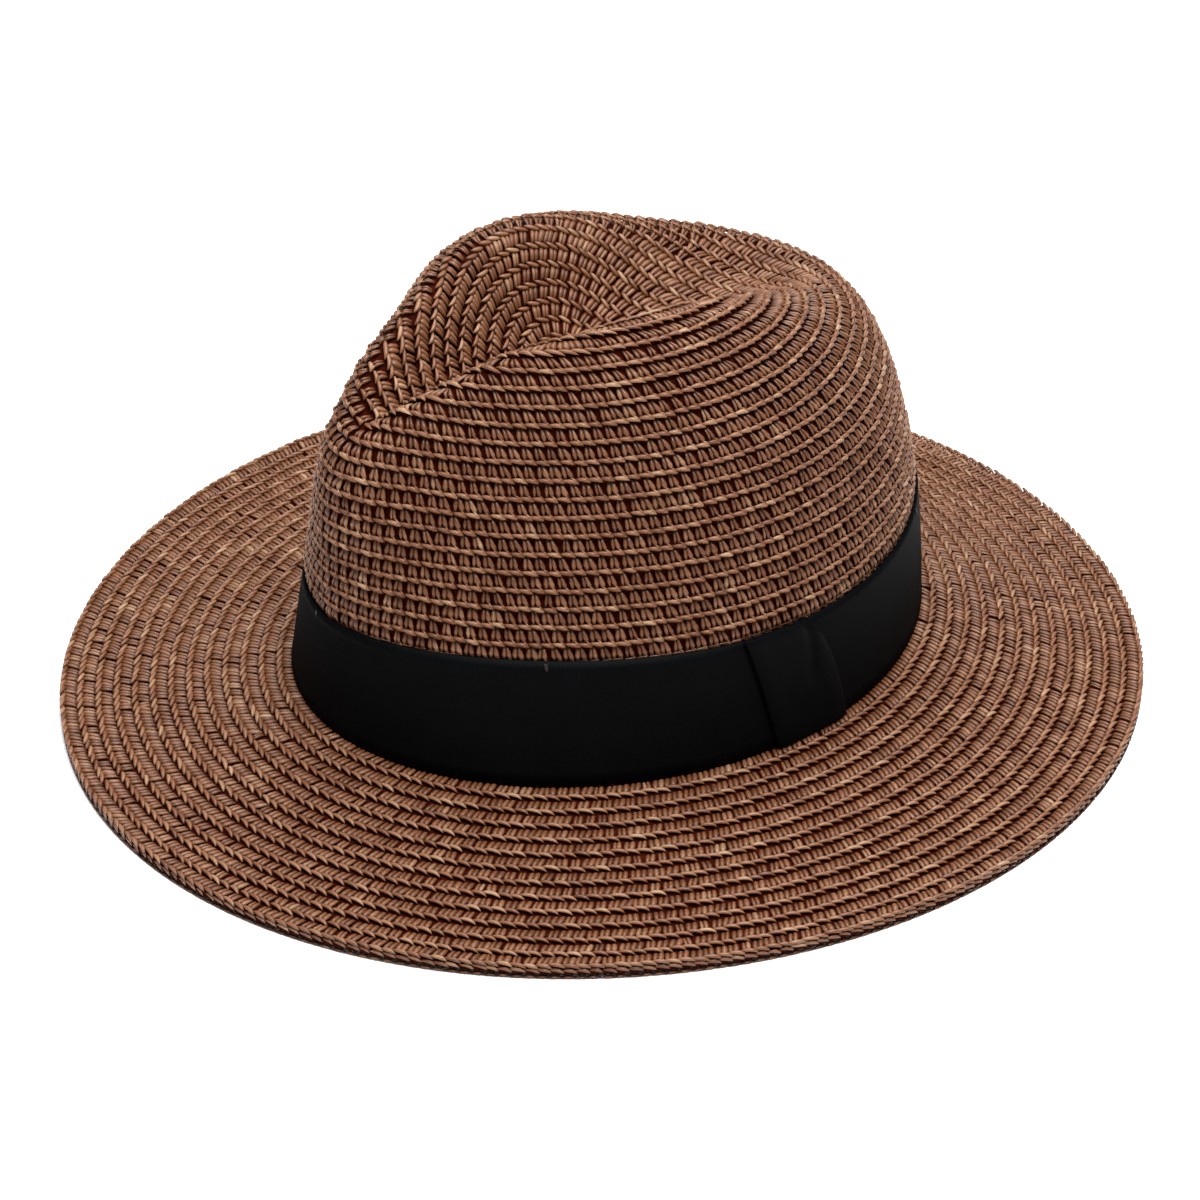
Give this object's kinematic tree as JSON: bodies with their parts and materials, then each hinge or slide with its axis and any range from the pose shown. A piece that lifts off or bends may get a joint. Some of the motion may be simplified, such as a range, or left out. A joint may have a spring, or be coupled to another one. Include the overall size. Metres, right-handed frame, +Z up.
{
  "type": "straw sun hat",
  "caption": "Wide-brimmed straw sun hat of sewn paper plait: pinched teardrop crown, ribbon band with folded keeper, and a sweatband with a size tab that slides.",
  "frame": {"origin": "centre of the bounding box at its bottom, on the surface that the brim edge rests on", "axes": "+Z up through the crown, -Y towards the front of the hat, +X towards the wearer's left, where the ribbon keeper is"},
  "size_m": [0.3166, 0.3427, 0.1361],
  "materials": {
    "straw": "brown twisted paper straw, knitted into plait and sewn in overlapping rows, satin",
    "ribbon": "black grosgrain with fine cross ribs, slight sheen",
    "sweatband": "black cotton twill, matt",
    "hook_and_loop": "black hook and loop tape, napped",
    "label": "black woven tape, bare",
    "thread": "dark brown sewing thread",
    "nylon": "clear nylon line and tube"
  },
  "bodies": {
    "hat": {"crown_side": "straw", "crown_tip": "straw", "brim": "straw", "edge_row": "straw", "edge_line": "nylon", "edge_line_sleeve": "nylon", "hat_ribbon": "ribbon", "ribbon_keeper": "ribbon", "ribbon_tacks": "thread", "sweatband": "sweatband", "sweatband_join": "sweatband", "sweatband_stitches": "thread", "size_strap": "hook_and_loop", "strap_tacks": "thread", "blank_label": "label"},
    "size_tab": {"size_tab": "hook_and_loop"}
  },
  "joints": [
    {"name": "size_adjust", "type": "hinge", "parent": "hat", "child": "size_tab", "pos_m": [0, 0.02336, 0.02319], "axis": [0, -0.0314, 0.9995], "range_deg": [0, 16]}
  ]
}
